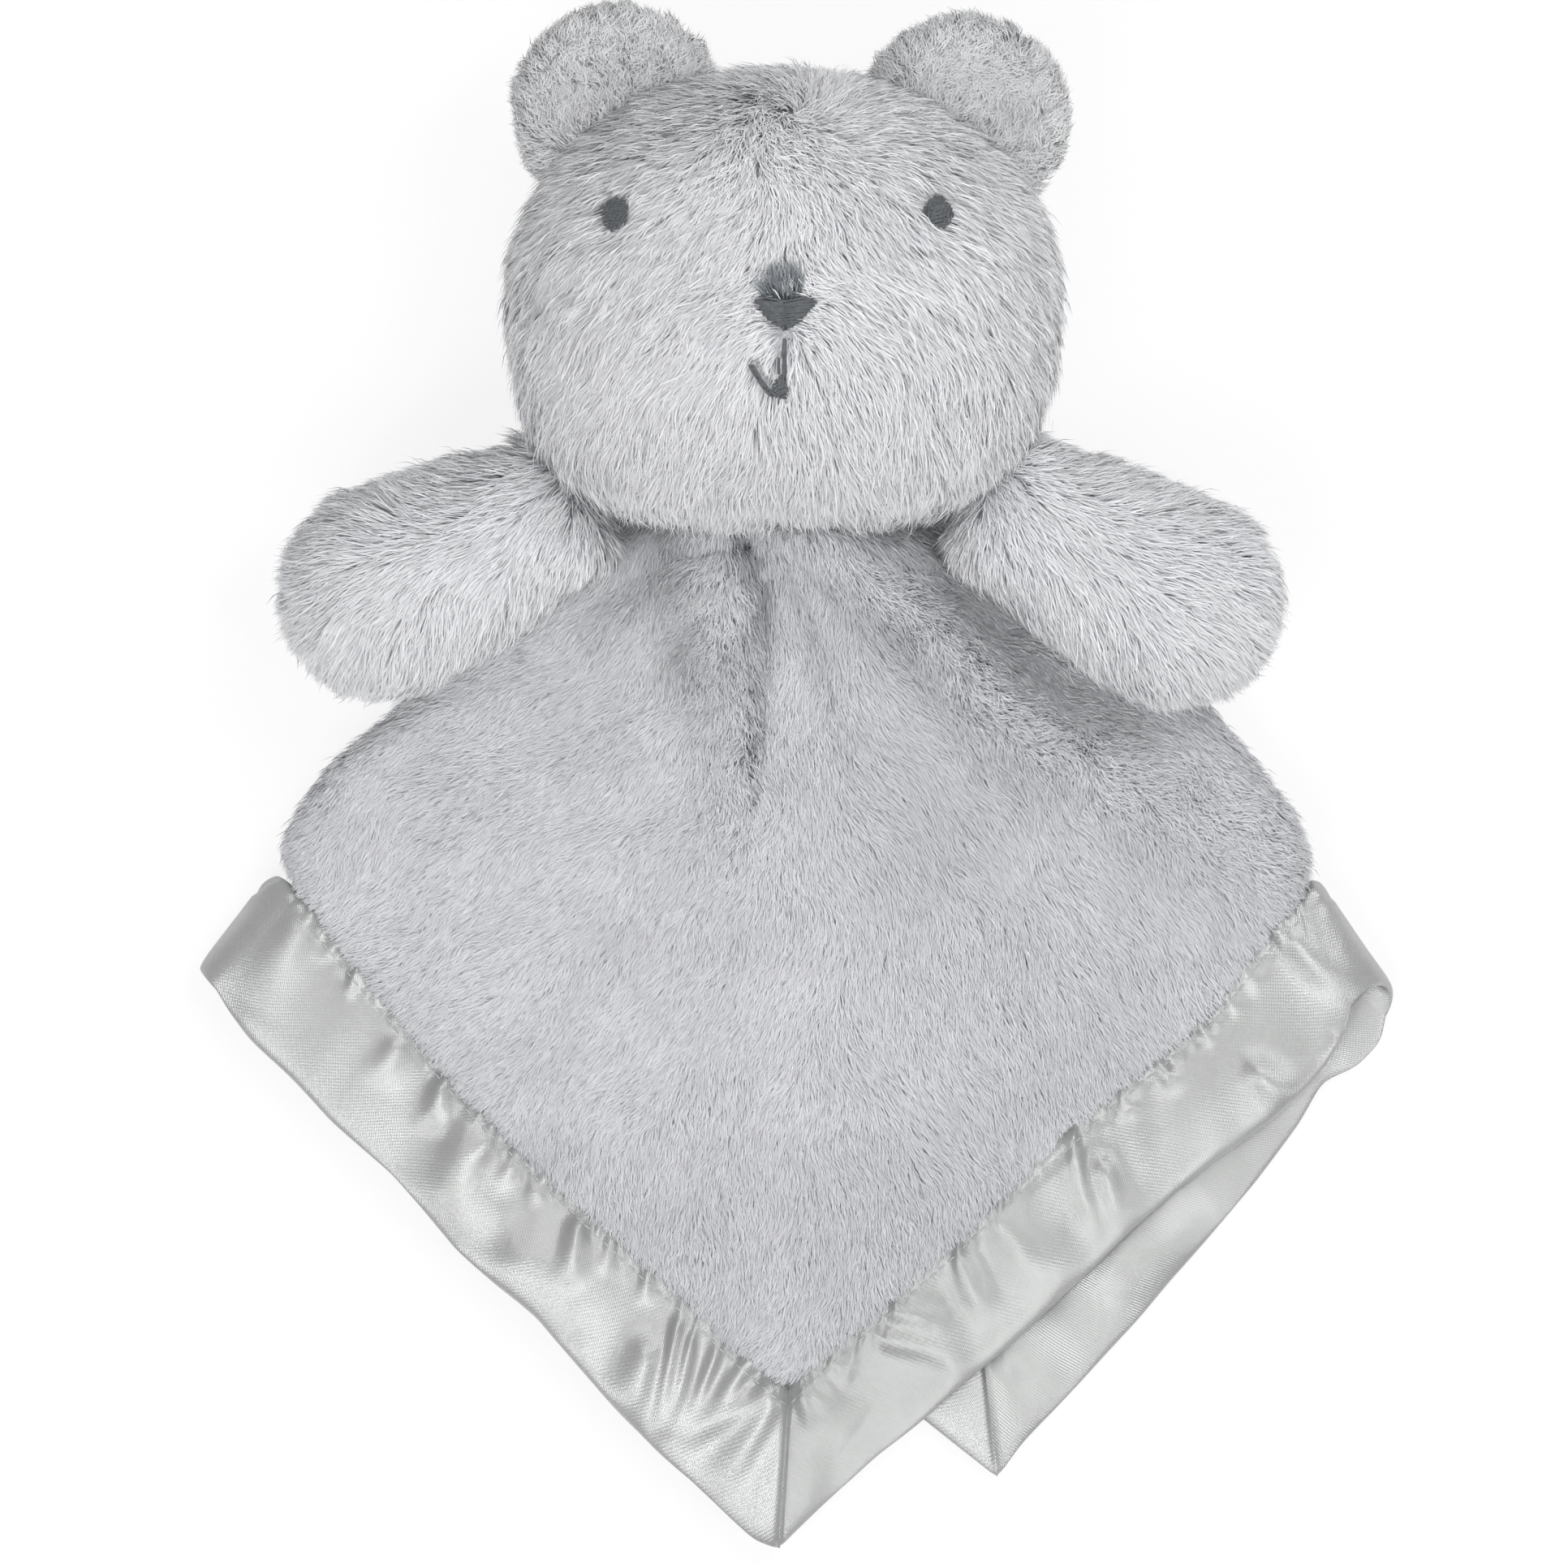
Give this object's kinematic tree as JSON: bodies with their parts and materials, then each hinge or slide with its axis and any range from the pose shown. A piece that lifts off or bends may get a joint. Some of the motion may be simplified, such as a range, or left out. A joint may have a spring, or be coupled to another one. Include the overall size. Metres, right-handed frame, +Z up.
{
  "type": "comfort blanket lovey",
  "caption": "plush bear head and stuffed arms on a satin-bound plush blanket folded to a corner, lying on its back",
  "frame": {"origin": "middle of the footprint, on the surface that the toy lies on", "axes": "+X to the right of someone who faces the toy, +Y from the blanket's front corner to the top of the head, +Z up out of the face"},
  "size_m": [0.2944, 0.382, 0.1017],
  "materials": {
    "plush": "short pale grey plush pile",
    "long_plush": "longer pale grey plush pile",
    "curly_plush": "short curly pale grey pile",
    "backing": "knitted backing of the plush",
    "satin": "shiny silver-grey satin",
    "embroidery": "charcoal embroidery thread",
    "thread": "grey sewing thread, wound",
    "stuffing": "white polyester filling"
  },
  "bodies": {
    "blanket": {"blanket_front_plush": "plush", "blanket_front_backing": "backing", "blanket_back_plush": "plush", "blanket_back_backing": "backing", "neck_gather": "plush", "satin_front_left": "satin", "satin_front_right": "satin", "satin_back_left": "satin", "satin_back_right": "satin"},
    "wing_right": {"wing_right_plush": "plush", "wing_right_backing": "backing", "wing_right_satin_front": "satin", "wing_right_satin_back": "satin"},
    "wing_left": {"wing_left_plush": "plush", "wing_left_backing": "backing", "wing_left_satin_front": "satin", "wing_left_satin_back": "satin"},
    "neck": {"neck_stem": "plush", "neck_tie": "thread"},
    "head": {"head_front": "long_plush", "head_back": "long_plush", "head_stuffing": "stuffing", "eye_left": "embroidery", "eye_right": "embroidery", "nose": "embroidery", "mouth": "embroidery"},
    "ear_right": {"ear_right_front": "curly_plush", "ear_right_back": "curly_plush"},
    "ear_left": {"ear_left_front": "curly_plush", "ear_left_back": "curly_plush"},
    "arm_right": {"arm_right_upper": "plush", "arm_right_under": "plush", "arm_right_stuffing": "stuffing"},
    "arm_left": {"arm_left_upper": "plush", "arm_left_under": "plush", "arm_left_stuffing": "stuffing"}
  },
  "joints": [
    {"name": "wing_right_unfold", "type": "hinge", "parent": "blanket", "child": "wing_right", "pos_m": [0.14614, -0.04976, 0.00915], "axis": [0.7361, -0.6769, 0], "range_deg": [0, 180]},
    {"name": "wing_left_unfold", "type": "hinge", "parent": "blanket", "child": "wing_left", "pos_m": [-0.14707, -0.04706, 0.00915], "axis": [0.6691, 0.7431, 0], "range_deg": [0, 180]},
    {"name": "neck_nod", "type": "hinge", "parent": "blanket", "child": "neck", "pos_m": [-0.00317, 0.056, 0.03], "axis": [1, 0, 0], "range_deg": [0, 25]},
    {"name": "head_turn", "type": "hinge", "parent": "neck", "child": "head", "pos_m": [-0.00317, 0.056, 0.03], "axis": [0, 1, 0], "range_deg": [-20, 20]},
    {"name": "ear_right_fold", "type": "hinge", "parent": "head", "child": "ear_right", "pos_m": [0.04477, 0.1659, 0.046], "axis": [0.6947, -0.7193, 0], "range_deg": [0, 60]},
    {"name": "ear_left_fold", "type": "hinge", "parent": "head", "child": "ear_left", "pos_m": [-0.04725, 0.16855, 0.046], "axis": [0.7431, 0.6691, 0], "range_deg": [0, 60]},
    {"name": "arm_right_lift", "type": "hinge", "parent": "blanket", "child": "arm_right", "pos_m": [0.05283, 0.0671, 0.05], "axis": [-0.4756, -0.8797, 0], "range_deg": [0, 60]},
    {"name": "arm_left_lift", "type": "hinge", "parent": "blanket", "child": "arm_left", "pos_m": [-0.05917, 0.0671, 0.05], "axis": [-0.4305, 0.9026, 0], "range_deg": [0, 60]}
  ]
}
